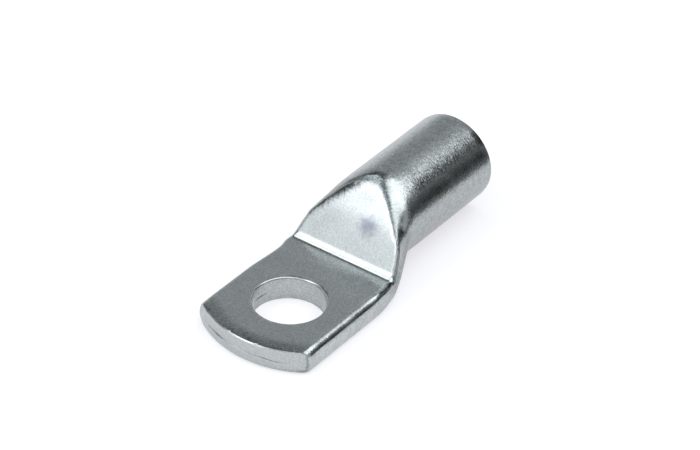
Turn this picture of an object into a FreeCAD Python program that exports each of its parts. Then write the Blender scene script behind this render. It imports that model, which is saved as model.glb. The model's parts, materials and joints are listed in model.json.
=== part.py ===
"""Tubular cable lug of tin-plated copper, pressed from one length of tube. Sizes are in mm.

The origin is the centre of the stud hole on the palm's underside. X runs along the barrel
towards the mouth where the cable goes in, and Z is up. The barrel's underside is flush
with the palm's, so the lug lies flat.

The press folds the tube and hardly stretches it, so the girth of every section follows
from the tube's own. That rule gives the width of the palm and of the folded sides, and the
sides then even it out along the lug.
"""
import FreeCAD
import Part
import math
import os

# tube
TUBE_DIAMETER = 13.8
WALL = 1.9
MOUTH_X = 39.6               # from the stud hole's centre to the mouth
BORE_DEPTH = 17.0            # round part of the bore, behind which it narrows to the seam
BORE_DRAW_IN = 0.05          # how much the press drew the tube in behind that
BORE_OVERLAP = 0.3
MOUTH_CHAMFER = 0.5          # inside edge of the mouth, where the strands go in
MOUTH_EDGE = 0.2             # bevel round the outside of the mouth

# palm
PALM_THICKNESS = 3.7
PALM_SIDE = 1.0              # how far the rounded side reaches past the flat of the top
PALM_SIDE_UNDER = 1.1        # the same at the underside
STUD_HOLE_DIAMETER = 10.5
HOLE_TOP_EDGE = 0.15         # bevel at the hole's top rim, where the punch went in
TIP_X = 11.0                 # from the stud hole's centre to the cut end
TIP_RADIUS = 15.2            # arc of the cut end, seen from above
TIP_EDGE = 0.15              # bevel round the cut end
WAIST_X = 10.4               # from the stud hole's centre to the palm's narrowest place
WAIST_INSET = 0.25
SPREAD_SHARE = 0.45          # share of the wall's thinning that went into width and not into length

# pressed transition
RAMP_ANGLE = 56.0            # slope of the pressed facet against the palm
RAMP_FOOT_X = 12.8           # from the stud hole's centre to where the facet meets the palm
CREASE_RADIUS = 1.4          # inside corner between palm and facet
SHOULDER_RADIUS = 4.0        # outside corner between facet and barrel
FACET_WIDTH = 18.5           # facet at its foot, as if its corners were sharp
FACET_SPREAD = 1.43          # how fast the facet widens from its upper end, 1 being in step with its depth
SOLE_START_X = 9.9           # where the flat of the underside starts to narrow
SOLE_END_X = 22.4            # where it ends on the round tube
SOLE_CURVE = 1.3             # 1 is a straight narrowing, more is a hollow one
SIDE_REACH = 2.0             # how far along the lug the sides even out a change of width

# seam, where the tube's inner walls meet in the palm
SEAM_HEIGHT = 0.12
SEAM_DEPTH = 0.5             # how deep the cut end shows it
SEAM_WIDTH = 14.5
SEAM_Z = 1.7
SEAM_OPENING = 0.8           # height at which the inside of the fold ends towards the palm
SEAM_SLIT = 3.0              # length of the open stretch in the stud hole's wall
SEAM_SLIT_ANGLE = 89.0       # its middle, turned from the barrel's direction

# shape of the rounded corners of a section: 2 is an ellipse, more is squarer
ROUND = 2.0
PALM_TOP_SQUARENESS = 3.0
PALM_UNDER_SQUARENESS = 2.7

RADIUS = TUBE_DIAMETER / 2
BORE_RADIUS = RADIUS - WALL
HOLE_RADIUS = STUD_HOLE_DIAMETER / 2
GIRTH = math.pi * TUBE_DIAMETER
PALM_END_X = HOLE_RADIUS + WALL / 2               # where the palm stops being straight
BARREL_START_X = SOLE_END_X + SIDE_REACH          # where the tube is round
BEND_START_X = RAMP_FOOT_X - CREASE_RADIUS        # the stretch round the crease
BEND_END_X = RAMP_FOOT_X + CREASE_RADIUS
RISE = math.radians(RAMP_ANGLE)
SLOPE = math.tan(RISE)

CORNER_STEPS = 200           # steps along one rounded corner of a section while it is worked out
HALF_STEPS = 48              # steps between a section's final points, from its lowest to its highest
SOLE_STEPS = 18              # how many of them lie in the strip along the sole
TOP_STEPS = 18               # how many of them lie in the strip along the top
GIRTH_TRIES = 12             # times that a section's width is corrected until its girth is right
SIDE_STEPS = 2               # places to either side over which the half width is evened out
SPLINE_DEGREE = 3
JOIN_TOLERANCE = 0.0005      # between a spline circle and the true one
FLATNESS = 1e-7              # how closely a section's point has to lie on a flat to be counted to it
BEND_REACH = 2               # points from a bend within which the smooth curve isn't quite straight yet
NEAR = 0.01                  # how closely a point has to lie on an edge to be counted to it
EDGE_CHECKS = 9              # points at which an edge is tested
CREASE_SPACING = 0.3         # between stations across the crease
PRESSED_SPACING = 0.7        # between stations on the rest of the pressed stretch


def ease(share):
    """Goes from 0 to 1 with level ends, and stays there outside."""
    share = min(max(share, 0.0), 1.0)
    return share * share * (3 - 2 * share)


def side_view(x, depth):
    """Height of the lug's top, or of the line that lies this depth inside the metal."""
    palm = PALM_THICKNESS - depth
    barrel = TUBE_DIAMETER - depth
    crease = CREASE_RADIUS + depth
    shoulder = SHOULDER_RADIUS - depth
    foot_x = RAMP_FOOT_X + depth * math.tan(RISE / 2)
    head_x = foot_x + (barrel - palm) / SLOPE
    crease_start = foot_x - crease * math.tan(RISE / 2)
    crease_end = crease_start + crease * math.sin(RISE)
    shoulder_end = head_x + shoulder * math.tan(RISE / 2)
    shoulder_start = shoulder_end - shoulder * math.sin(RISE)
    if x <= crease_start:
        return palm
    if x <= crease_end:
        return palm + crease - math.sqrt(crease ** 2 - (x - crease_start) ** 2)
    if x <= shoulder_start:
        return palm + (x - foot_x) * SLOPE
    if x <= shoulder_end:
        return barrel - shoulder + math.sqrt(shoulder ** 2 - (shoulder_end - x) ** 2)
    return barrel


def pressed(x):
    """How far the top is pressed down: 1 on the palm, 0 on the round tube."""
    return (TUBE_DIAMETER - side_view(x, 0)) / (TUBE_DIAMETER - PALM_THICKNESS)


def facet_half(x):
    """Half width of the facet, which ends in a point on the barrel's top."""
    depth = pressed(x)
    return FACET_WIDTH / 2 * (FACET_SPREAD * depth - (FACET_SPREAD - 1) * depth ** 3)


def sole_share(x):
    """How much of the palm's flat underside is left: 1 on the palm, 0 on the round tube."""
    share = (x - SOLE_START_X) / (SOLE_END_X - SOLE_START_X)
    return (1 - min(max(share, 0.0), 1.0)) ** SOLE_CURVE


def corner(flat, side, middle, crown, squareness):
    """Points of one rounded corner, from the end of its flat to the widest place of the side."""
    points = []
    for step in range(CORNER_STEPS + 1):
        turn = math.pi / 2 * step / CORNER_STEPS
        y = flat + (side - flat) * math.sin(turn) ** (2 / squareness)
        z = middle + (crown - middle) * max(math.cos(turn), 0.0) ** (2 / squareness)
        points.append((y, z))
    return points


def half_outline(x, side):
    """Half of the outside at one place, from the middle of the sole up to the middle of the top."""
    top = side_view(x, 0)
    depth = pressed(x)
    top_flat = min(facet_half(x), side - PALM_SIDE)
    sole_flat = (side - PALM_SIDE_UNDER) * sole_share(x)
    upper = corner(top_flat, side, top / 2, top, ROUND + (PALM_TOP_SQUARENESS - ROUND) * depth)
    lower = corner(sole_flat, side, top / 2, 0.0, ROUND + (PALM_UNDER_SQUARENESS - ROUND) * depth)
    return [(0.0, 0.0)] + lower + upper[-2::-1] + [(0.0, top)]


def length(points):
    """Length of a line of points."""
    return sum(math.dist(a, b) for a, b in zip(points, points[1:]))


def girth_width(x):
    """Half width of the section that keeps the tube's girth, and what the thinned wall adds to it."""
    thinning = 2 * WALL / PALM_THICKNESS - 1
    girth = GIRTH * (1 + SPREAD_SHARE * thinning * pressed(x))
    side = RADIUS
    for _ in range(GIRTH_TRIES):
        side += (girth / 2 - length(half_outline(x, side))) / 2
    return side


def half_width(x):
    """Half width at one place: the sides turn less sharply than the top, so it is evened out along them."""
    places = [x + SIDE_REACH * step / SIDE_STEPS for step in range(-SIDE_STEPS, SIDE_STEPS + 1)]
    return sum(girth_width(place) for place in places) / len(places)


def waist(x):
    """How much narrower the palm is than its girth gives, between the hole and the facet."""
    into = ease((x - PALM_END_X) / (WAIST_X - PALM_END_X))
    out = ease((x - WAIST_X) / (RAMP_FOOT_X - WAIST_X))
    return WAIST_INSET * into * (1 - out)


def spread(points, count):
    """Points at equal steps along a line of points, its ends included."""
    step = length(points) / count
    placed = [points[0]]
    walked = 0.0
    for start, end in zip(points, points[1:]):
        stretch = math.dist(start, end)
        while len(placed) < count and walked + stretch > step * len(placed):
            share = (step * len(placed) - walked) / stretch
            placed.append(tuple(a + (b - a) * share for a, b in zip(start, end)))
        walked += stretch
    return placed + [points[-1]]


def outer_section(x):
    """Half of the lug's outside at one place along it."""
    return half_outline(x, half_width(x) - waist(x))


def inner_section(x):
    """Half of the space inside the folded tube at one place along it."""
    floor = WALL
    top = side_view(x, WALL)
    middle = (floor + top) / 2
    side = half_width(x) - WALL - BORE_DRAW_IN
    top_flat = min(facet_half(x), side) * side / (side + WALL)
    sole_flat = side * sole_share(x) * side / (side + WALL)
    upper = corner(top_flat, side, middle, top - BORE_DRAW_IN, ROUND)
    lower = corner(sole_flat, side, middle, floor + BORE_DRAW_IN, ROUND)
    return [(0.0, lower[0][1])] + lower + upper[-2::-1] + [(0.0, upper[0][1])]


def closed_curve(x, half):
    """A closed smooth curve across the lug, from half of its outline.

    Each pole stands out from its point by a sixth of the bend there, which makes the
    curve run through the points and stay straight along a flat.
    """
    right = spread(half, HALF_STEPS)
    points = [FreeCAD.Vector(x, y, z) for y, z in right]
    points += [FreeCAD.Vector(x, -y, z) for y, z in right[-2:0:-1]]
    count = len(points)
    poles = []
    for place in range(-1, count - 1):
        before, point, after = points[place - 1], points[place], points[(place + 1) % count]
        poles.append(point + (point * 2 - before - after) / 6)
    curve = Part.BSplineCurve()
    curve.buildFromPolesMultsKnots(poles, [1] * (count + 1), list(range(count + 1)), True, SPLINE_DEGREE)
    return curve


def flat_end(half, z):
    """The last place of a flat where the smooth curve is still quite straight."""
    flat = [y for y, height in spread(half, HALF_STEPS) if abs(height - z) < FLATNESS]
    return sorted(flat)[-1 - BEND_REACH]


def palm_outline():
    """The palm's section: true straight lines above and below, and the smooth sides between them."""
    half = outer_section(PALM_END_X)
    curve = closed_curve(PALM_END_X, half)
    low = FreeCAD.Vector(PALM_END_X, flat_end(half, 0.0), 0.0)
    high = FreeCAD.Vector(PALM_END_X, flat_end(half, PALM_THICKNESS), PALM_THICKNESS)
    far_low = FreeCAD.Vector(low.x, -low.y, low.z)
    far_high = FreeCAD.Vector(high.x, -high.y, high.z)
    curve.segment(curve.parameter(low), curve.parameter(high))
    side = curve.toShape()
    far_side = side.mirror(FreeCAD.Vector(0, 0, 0), FreeCAD.Vector(0, 1, 0))
    return Part.Wire([side, Part.makeLine(high, far_high), far_side, Part.makeLine(far_low, low)])


def skin(stations, section, joints):
    """A solid whose side runs smoothly through the sections at the stations.

    The side is laid in four strips, along the sole, the two sides and the top, and each
    strip ends and starts again at the joints.
    """
    curves = [closed_curve(x, section(x)) for x in stations]
    rows = []
    for poles in zip(*[curve.getPoles() for curve in curves]):
        line = Part.BSplineCurve()
        line.interpolate(Points=list(poles), Parameters=stations)
        rows.append(line.getPoles())
    side = Part.BSplineSurface()
    side.buildFromPolesMultsKnots(
        rows,
        curves[0].getMultiplicities(),
        line.getMultiplicities(),
        curves[0].getKnots(),
        line.getKnots(),
        True,
        False,
        SPLINE_DEGREE,
        SPLINE_DEGREE,
    )
    top_start = HALF_STEPS - TOP_STEPS
    bounds = [SOLE_STEPS, top_start, 2 * HALF_STEPS - top_start, 2 * HALF_STEPS - SOLE_STEPS]
    bounds.append(2 * HALF_STEPS + SOLE_STEPS)
    places = [stations[0]] + joints + [stations[-1]]
    faces = []
    for low, high in zip(bounds, bounds[1:]):
        for start, end in zip(places, places[1:]):
            strip = side.copy()
            strip.segment(low, high, start, end)
            faces.append(strip.toShape())
    edges = [edge for face in faces for edge in face.Edges]
    for x in (stations[0], stations[-1]):
        rim = [edge for edge in edges if all(abs(vertex.X - x) < NEAR for vertex in edge.Vertexes)]
        faces.append(Part.Face(Part.Wire(Part.sortEdges(rim)[0])))
    shell = Part.makeShell(faces)
    shell.sewShape()
    return Part.makeSolid(shell)


def steps(start, end, spacing):
    """Stations from start up to end, evenly spaced by about this much."""
    count = max(round((end - start) / spacing), 1)
    return [start + (end - start) * step / count for step in range(count)]


def outer_stations():
    """Stations of the pressed stretch: many across the crease, fewer to either side."""
    return (
        steps(PALM_END_X, BEND_START_X, PRESSED_SPACING)
        + steps(BEND_START_X, BEND_END_X, CREASE_SPACING)
        + steps(BEND_END_X, BARREL_START_X, PRESSED_SPACING)
        + [BARREL_START_X]
    )


def inner_stations():
    """Stations of the inside, from the thin end of the fold to the round bore."""
    foot_x = RAMP_FOOT_X + WALL * math.tan(RISE / 2)
    end_x = foot_x + (2 * WALL - PALM_THICKNESS + SEAM_OPENING) / SLOPE
    bore_end = MOUTH_X - BORE_DEPTH
    return steps(end_x, bore_end, PRESSED_SPACING) + [bore_end, bore_end + BORE_OVERLAP]


def cylinder_x(radius, start, end):
    """A cylinder on the barrel's axis."""
    foot = FreeCAD.Vector(start, 0, RADIUS)
    return Part.makeCylinder(radius, end - start, foot, FreeCAD.Vector(1, 0, 0))


def tip_trim():
    """Everything behind the arc of the cut end."""
    reach = half_width(PALM_END_X) + WALL
    centre_x = TIP_RADIUS - TIP_X
    corner_x = centre_x - math.sqrt(TIP_RADIUS ** 2 - reach ** 2)
    far_x = MOUTH_X + WALL
    left = FreeCAD.Vector(corner_x, reach, -WALL)
    tip = FreeCAD.Vector(-TIP_X, 0, -WALL)
    right = FreeCAD.Vector(corner_x, -reach, -WALL)
    far_right = FreeCAD.Vector(far_x, -reach, -WALL)
    far_left = FreeCAD.Vector(far_x, reach, -WALL)
    arc = Part.Arc(left, tip, right).toShape()
    sides = [Part.makeLine(right, far_right), Part.makeLine(far_right, far_left), Part.makeLine(far_left, left)]
    outline = Part.Face(Part.Wire([arc] + sides))
    return outline.extrude(FreeCAD.Vector(0, 0, TUBE_DIAMETER + 2 * WALL))


def edges_near(shape, test):
    """The edges all of whose points pass the test."""
    return [edge for edge in shape.Edges if all(test(point) for point in edge.discretize(EDGE_CHECKS))]


def on_tip(point):
    """Whether a point lies on the arc of the cut end."""
    return abs(math.hypot(point.x - TIP_RADIUS + TIP_X, point.y) - TIP_RADIUS) < NEAR and point.x < 0


def on_hole(point, z):
    """Whether a point lies on the stud hole's rim at this height."""
    return abs(math.hypot(point.x, point.y) - HOLE_RADIUS) < NEAR and abs(point.z - z) < NEAR


def on_mouth(point, radius):
    """Whether a point lies on a circle round the mouth."""
    return abs(point.x - MOUTH_X) < NEAR and abs(math.hypot(point.y, point.z - RADIUS) - radius) < NEAR


def seam_line():
    """The thin lens-shaped line that the closed fold shows across the cut end."""
    half = SEAM_WIDTH / 2
    left = FreeCAD.Vector(-TIP_X - WALL, half, SEAM_Z)
    right = FreeCAD.Vector(-TIP_X - WALL, -half, SEAM_Z)
    high = FreeCAD.Vector(-TIP_X - WALL, 0, SEAM_Z + SEAM_HEIGHT / 2)
    low = FreeCAD.Vector(-TIP_X - WALL, 0, SEAM_Z - SEAM_HEIGHT / 2)
    lens = Part.Face(Part.Wire([Part.Arc(left, high, right).toShape(), Part.Arc(right, low, left).toShape()]))
    slot = lens.extrude(FreeCAD.Vector(TIP_X, 0, 0))
    behind = Part.makeCylinder(TIP_RADIUS - SEAM_DEPTH, PALM_THICKNESS, FreeCAD.Vector(TIP_RADIUS - TIP_X, 0, 0))
    return slot.cut(behind)


def seam_slit():
    """The stretch of the seam that stands open in the stud hole's wall."""
    slit = Part.makeBox(SEAM_DEPTH * 2, SEAM_SLIT, SEAM_HEIGHT)
    slit.translate(FreeCAD.Vector(HOLE_RADIUS - SEAM_DEPTH, -SEAM_SLIT / 2, SEAM_Z - SEAM_HEIGHT / 2))
    slit.rotate(FreeCAD.Vector(0, 0, 0), FreeCAD.Vector(0, 0, 1), SEAM_SLIT_ANGLE)
    return slit


def palm():
    """The flattened end, cut to its arc and punched for the stud."""
    flat = Part.Face(palm_outline()).extrude(FreeCAD.Vector(-PALM_END_X - TIP_X - WALL, 0, 0))
    flat = flat.common(tip_trim())
    flat = flat.makeChamfer(TIP_EDGE, edges_near(flat, on_tip))
    flat = flat.cut(Part.makeCylinder(HOLE_RADIUS, PALM_THICKNESS + 2 * WALL, FreeCAD.Vector(0, 0, -WALL)))
    flat = flat.makeChamfer(HOLE_TOP_EDGE, edges_near(flat, lambda point: on_hole(point, PALM_THICKNESS)))
    return flat.cut(seam_line()).cut(seam_slit())


def transition():
    """The stretch between palm and barrel, with the facet on top and the fold's space inside."""
    ramp_end = RAMP_FOOT_X + (TUBE_DIAMETER - PALM_THICKNESS) / SLOPE
    return skin(outer_stations(), outer_section, [BEND_START_X, BEND_END_X, ramp_end])


def barrel():
    """The round end, still solid, with its mouth's outer edge bevelled."""
    tube = cylinder_x(RADIUS, BARREL_START_X, MOUTH_X)
    return tube.makeChamfer(MOUTH_EDGE, edges_near(tube, lambda point: on_mouth(point, RADIUS)))


def bore():
    """All that the tube is hollow with: the round bore with its mouth's bevel, and the fold's space."""
    start = MOUTH_X - BORE_DEPTH
    deep = BORE_RADIUS + MOUTH_CHAMFER
    foot = FreeCAD.Vector(MOUTH_X - MOUTH_CHAMFER, 0, RADIUS)
    bevel = Part.makeCone(BORE_RADIUS, deep, MOUTH_CHAMFER, foot, FreeCAD.Vector(1, 0, 0))
    return [cylinder_x(BORE_RADIUS, start, MOUTH_X + WALL), bevel, skin(inner_stations(), inner_section, [])]


def lug():
    """The finished lug, in one piece."""
    body = transition().fuse([palm(), barrel()], JOIN_TOLERANCE)
    for tool in bore():
        body = body.cut(tool)
    return body


def save(shape, name):
    """Writes one solid to its file."""
    os.makedirs("parts", exist_ok=True)
    shape.exportStep(f"parts/{name}.step")


save(lug(), "cable_lug")
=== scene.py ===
"""Looks of the tubular cable lug: its fine-meshed body, its tin plate, and the studio round it.

Lengths inside the classes are in millimetres, as the maker's drawing gives them, and each
finished mesh is scaled to metres when it is made.
"""
import json
import logging
import math
from dataclasses import dataclass
from enum import Enum

import bmesh
import bpy
import numpy as np
from mathutils import Matrix, Vector, noise


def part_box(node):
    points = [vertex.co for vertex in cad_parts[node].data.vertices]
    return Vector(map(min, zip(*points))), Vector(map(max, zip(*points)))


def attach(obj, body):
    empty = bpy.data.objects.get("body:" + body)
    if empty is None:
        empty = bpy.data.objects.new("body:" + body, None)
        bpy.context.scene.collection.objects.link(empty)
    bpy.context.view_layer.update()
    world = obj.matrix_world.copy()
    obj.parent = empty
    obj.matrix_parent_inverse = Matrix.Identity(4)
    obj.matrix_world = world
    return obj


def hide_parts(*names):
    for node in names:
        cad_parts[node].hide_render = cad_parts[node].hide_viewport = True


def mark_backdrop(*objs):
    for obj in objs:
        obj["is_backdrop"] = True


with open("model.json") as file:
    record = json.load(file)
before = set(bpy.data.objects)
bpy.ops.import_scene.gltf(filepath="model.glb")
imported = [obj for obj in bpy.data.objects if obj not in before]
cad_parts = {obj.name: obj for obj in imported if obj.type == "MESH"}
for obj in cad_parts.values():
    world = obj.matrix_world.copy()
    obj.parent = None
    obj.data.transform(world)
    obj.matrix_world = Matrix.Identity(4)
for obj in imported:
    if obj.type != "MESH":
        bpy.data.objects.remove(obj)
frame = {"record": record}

LOG = logging.getLogger("cable_lug")
MM = 0.001
# Places nearer to each other than this, in millimetres, count as the same.
NEAR = 0.02
# Attribute of how near each point lies to a folded edge, the cut end's near corner or the stud hole's wall:
# the finish roughens the relief there and darkens the colour with painted shade.
SHADE_AND_RELIEF_MARK = "fold"
SMOOTH = {"interpolation_type": "SMOOTHSTEP"}
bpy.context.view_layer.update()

# Points along a line on the surface: x, y and z, how far the line reaches to each side, its strength.
MarkedLine = tuple[tuple[float, float, float, float, float], ...]


def mount(name: str) -> dict:
    """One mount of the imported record.

    Args:
        name: The mount's name.

    Returns:
        Its entry, with its place and its sizes.
    """
    return next(entry for entry in frame["record"]["mounts"] if entry["name"] == name)


def srgb(code: str) -> tuple[float, float, float, float]:
    """Turns an sRGB hex colour into linear light.

    Args:
        code: Six hex digits.

    Returns:
        Linear red, green and blue, with an alpha of one.
    """
    levels = [int(code[place:place + 2], 16) / 255 for place in (0, 2, 4)]
    light = [level / 12.92 if level <= 0.04045 else ((level + 0.055) / 1.055) ** 2.4 for level in levels]
    return (light[0], light[1], light[2], 1.0)


def ease(share: float | np.ndarray) -> float | np.ndarray:
    """Goes from 0 to 1 with level ends, and stays there outside."""
    share = np.clip(share, 0.0, 1.0)
    return share * share * (3 - 2 * share)


@dataclass(frozen=True)
class LugForm:
    """The form of the pressed tube, by its sections along X.

    The press folds the tube and doesn't stretch it, so the girth of each section gives its width.
    """

    tube_diameter: float
    mouth_x: float
    tip_x: float
    hole_radius: float
    bore_radius: float
    palm_thickness: float
    bore_depth: float = 17.0
    bore_draw_in: float = 0.05
    palm_side: float = 1.0
    palm_side_under: float = 1.1
    tip_radius: float = 15.2
    waist_x: float = 10.4
    waist_inset: float = 0.25
    spread_share: float = 0.45
    ramp_angle: float = 56.0
    ramp_foot_x: float = 12.8
    crease_radius: float = 1.4
    shoulder_radius: float = 4.0
    facet_width: float = 18.5
    facet_spread: float = 1.43
    sole_start_x: float = 9.9
    sole_end_x: float = 22.4
    sole_curve: float = 1.3
    side_reach: float = 2.0
    side_steps: int = 2
    seam_opening: float = 0.8
    palm_top_squareness: float = 3.0
    palm_under_squareness: float = 2.7
    corner_steps: int = 192
    girth_tries: int = 12

    @property
    def radius(self) -> float:
        """Outside radius of the tube."""
        return self.tube_diameter / 2

    @property
    def wall(self) -> float:
        """Thickness of the tube's wall."""
        return self.radius - self.bore_radius

    @property
    def slope(self) -> float:
        """Rise of the pressed facet for each unit along X."""
        return math.tan(math.radians(self.ramp_angle))

    @property
    def palm_end_x(self) -> float:
        """Where the palm stops being straight."""
        return self.hole_radius + self.wall / 2

    @property
    def barrel_start_x(self) -> float:
        """Where the tube is round."""
        return self.sole_end_x + self.side_reach

    @property
    def facet_normal(self) -> np.ndarray:
        """Direction that the middle of the pressed facet faces."""
        rise = math.radians(self.ramp_angle)
        return np.array([-math.sin(rise), 0.0, math.cos(rise)])

    def top(self, x: float, depth: float = 0.0) -> float:
        """Height of the lug's top, or of the line that lies some depth inside the metal.

        Args:
            x: Place along the lug.
            depth: How far inside the metal.

        Returns:
            The height above the palm's underside.
        """
        rise = math.radians(self.ramp_angle)
        palm = self.palm_thickness - depth
        barrel = self.tube_diameter - depth
        crease = self.crease_radius + depth
        shoulder = self.shoulder_radius - depth
        foot_x = self.ramp_foot_x + depth * math.tan(rise / 2)
        head_x = foot_x + (barrel - palm) / self.slope
        crease_start = foot_x - crease * math.tan(rise / 2)
        crease_end = crease_start + crease * math.sin(rise)
        shoulder_end = head_x + shoulder * math.tan(rise / 2)
        shoulder_start = shoulder_end - shoulder * math.sin(rise)
        if x <= crease_start:
            return palm
        if x <= crease_end:
            return palm + crease - math.sqrt(crease ** 2 - (x - crease_start) ** 2)
        if x <= shoulder_start:
            return palm + (x - foot_x) * self.slope
        if x <= shoulder_end:
            return barrel - shoulder + math.sqrt(shoulder ** 2 - (shoulder_end - x) ** 2)
        return barrel

    def pressed(self, x: float) -> float:
        """How far the top is pressed down: 1 on the palm, 0 on the round tube."""
        return (self.tube_diameter - self.top(x)) / (self.tube_diameter - self.palm_thickness)

    def facet_half(self, x: float) -> float:
        """Half width of the facet, which ends in a point on the barrel's top."""
        depth = self.pressed(x)
        return self.facet_width / 2 * (self.facet_spread * depth - (self.facet_spread - 1) * depth ** 3)

    def sole_share(self, x: float) -> float:
        """How much of the palm's flat underside is left: 1 on the palm, 0 on the round tube."""
        share = (x - self.sole_start_x) / (self.sole_end_x - self.sole_start_x)
        return (1 - min(max(share, 0.0), 1.0)) ** self.sole_curve

    def corner(self, flat: float, side: float, middle: float, crown: float,
               squareness: float) -> np.ndarray:
        """One rounded corner of a section.

        Args:
            flat: Where the flat of the top or the underside ends.
            side: Half width at the widest place.
            middle: Height of the widest place.
            crown: Height of the flat.
            squareness: 2 for an ellipse, more for a squarer corner.

        Returns:
            Points from the flat's end to the widest place, a row of y and z each.
        """
        turn = np.linspace(0, math.pi / 2, self.corner_steps + 1)
        y = flat + (side - flat) * np.sin(turn) ** (2 / squareness)
        z = middle + (crown - middle) * np.maximum(np.cos(turn), 0) ** (2 / squareness)
        return np.column_stack([y, z])

    def half_outline(self, x: float, side: float) -> np.ndarray:
        """Half of the outside.

        Args:
            x: Place along the lug.
            side: Half width there.

        Returns:
            Points from the middle of the sole up to the middle of the top, a row of y and z each.
        """
        top = self.top(x)
        depth = self.pressed(x)
        top_flat = min(self.facet_half(x), side - self.palm_side)
        sole_flat = (side - self.palm_side_under) * self.sole_share(x)
        upper = self.corner(top_flat, side, top / 2, top, 2 + (self.palm_top_squareness - 2) * depth)
        lower = self.corner(sole_flat, side, top / 2, 0.0, 2 + (self.palm_under_squareness - 2) * depth)
        return np.vstack([[0.0, 0.0], lower, upper[-2::-1], [0.0, top]])

    def girth_width(self, x: float) -> float:
        """Half width of the section that keeps the tube's girth, and what the thinned wall adds to it.

        Args:
            x: Place along the lug.

        Returns:
            The half width there.
        """
        thinning = 2 * self.wall / self.palm_thickness - 1
        girth = math.pi * self.tube_diameter * (1 + self.spread_share * thinning * self.pressed(x))
        side = self.radius
        for _ in range(self.girth_tries):
            side += (girth / 2 - path_length(self.half_outline(x, side))) / 2
        return side

    def half_width(self, x: float) -> float:
        """Half width, evened out along the lug.

        Args:
            x: Place along the lug.

        Returns:
            The half width there.
        """
        if x <= self.palm_end_x:
            return self.girth_width(x)
        if x >= self.barrel_start_x:
            return self.radius
        steps = range(-self.side_steps, self.side_steps + 1)
        widths = [self.girth_width(x + self.side_reach * step / self.side_steps) for step in steps]
        return sum(widths) / len(widths)

    def waist(self, x: float) -> float:
        """How much narrower the palm is than its girth gives, between the hole and the facet.

        Args:
            x: Place along the lug.

        Returns:
            What the half width loses there.
        """
        into = ease((x - self.palm_end_x) / (self.waist_x - self.palm_end_x))
        out = ease((x - self.waist_x) / (self.ramp_foot_x - self.waist_x))
        return self.waist_inset * into * (1 - out)

    def outer_section(self, x: float) -> np.ndarray:
        """Half of the lug's outside at one place along it."""
        return self.half_outline(x, self.half_width(x) - self.waist(x))

    def inner_section(self, x: float) -> np.ndarray:
        """Half of the space inside the folded tube.

        Args:
            x: Place along the lug.

        Returns:
            Points from its lowest middle point up to its highest, a row of y and z each.
        """
        top = self.top(x, self.wall)
        middle = (self.wall + top) / 2
        side = self.half_width(x) - self.wall - self.bore_draw_in
        top_flat = min(self.facet_half(x), side) * side / (side + self.wall)
        sole_flat = side * self.sole_share(x) * side / (side + self.wall)
        upper = self.corner(top_flat, side, middle, top - self.bore_draw_in, 2)
        lower = self.corner(sole_flat, side, middle, self.wall + self.bore_draw_in, 2)
        return np.vstack([[0.0, lower[0][1]], lower, upper[-2::-1], [0.0, upper[0][1]]])

    def tip(self, y: float) -> float:
        """X of the cut end's arc at one place across the palm."""
        return self.tip_radius - self.tip_x - math.sqrt(self.tip_radius ** 2 - y ** 2)


def path_length(points: np.ndarray) -> float:
    """Length of a line of points."""
    return float(np.hypot(*np.diff(points, axis=0).T).sum())


def walk(points: np.ndarray) -> np.ndarray:
    """How far along a line of points each of them lies."""
    return np.concatenate([[0.0], np.cumsum(np.hypot(*np.diff(points, axis=0).T))])


def ring_of(half: np.ndarray, half_count: int) -> np.ndarray:
    """A closed ring of evenly spaced points from half of a section.

    Args:
        half: Points from the lowest middle point up to the highest.
        half_count: Steps between the lowest and the highest point.

    Returns:
        Points from the lowest one, up the side of positive y and down the other.
    """
    walked = walk(half)
    places = np.linspace(0, walked[-1], half_count + 1)
    right = np.column_stack([np.interp(places, walked, half[:, axis]) for axis in (0, 1)])
    left = right[-2:0:-1] * [-1, 1]
    return np.vstack([right, left])


def stretch(start: float, end: float, spacing: float) -> list[float]:
    """Places from start up to end, evenly spaced by about this much, without the end."""
    count = max(round(abs(end - start) / spacing), 1)
    return [start + (end - start) * step / count for step in range(count)]


def wobble(place: np.ndarray, size: float, seed: float) -> float:
    """Smooth irregularity of a surface.

    Args:
        place: Where on the surface.
        size: How far apart its hills lie.
        seed: Which pattern.

    Returns:
        A value between about -1 and 1.
    """
    return noise.noise(Vector((place[0] / size + seed, place[1] / size - seed, place[2] / size)))


def select_only(piece: bpy.types.Object) -> None:
    """Selects one object and makes it active.

    Args:
        piece: The object.
    """
    bpy.ops.object.select_all(action="DESELECT")
    piece.select_set(True)
    bpy.context.view_layer.objects.active = piece


def points_of(piece: bpy.types.Object) -> np.ndarray:
    """Reads where a piece's points are.

    Args:
        piece: The piece.

    Returns:
        A row of x, y and z for each point.
    """
    places = np.empty(len(piece.data.vertices) * 3)
    piece.data.vertices.foreach_get("co", places)
    return places.reshape(-1, 3)


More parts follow.
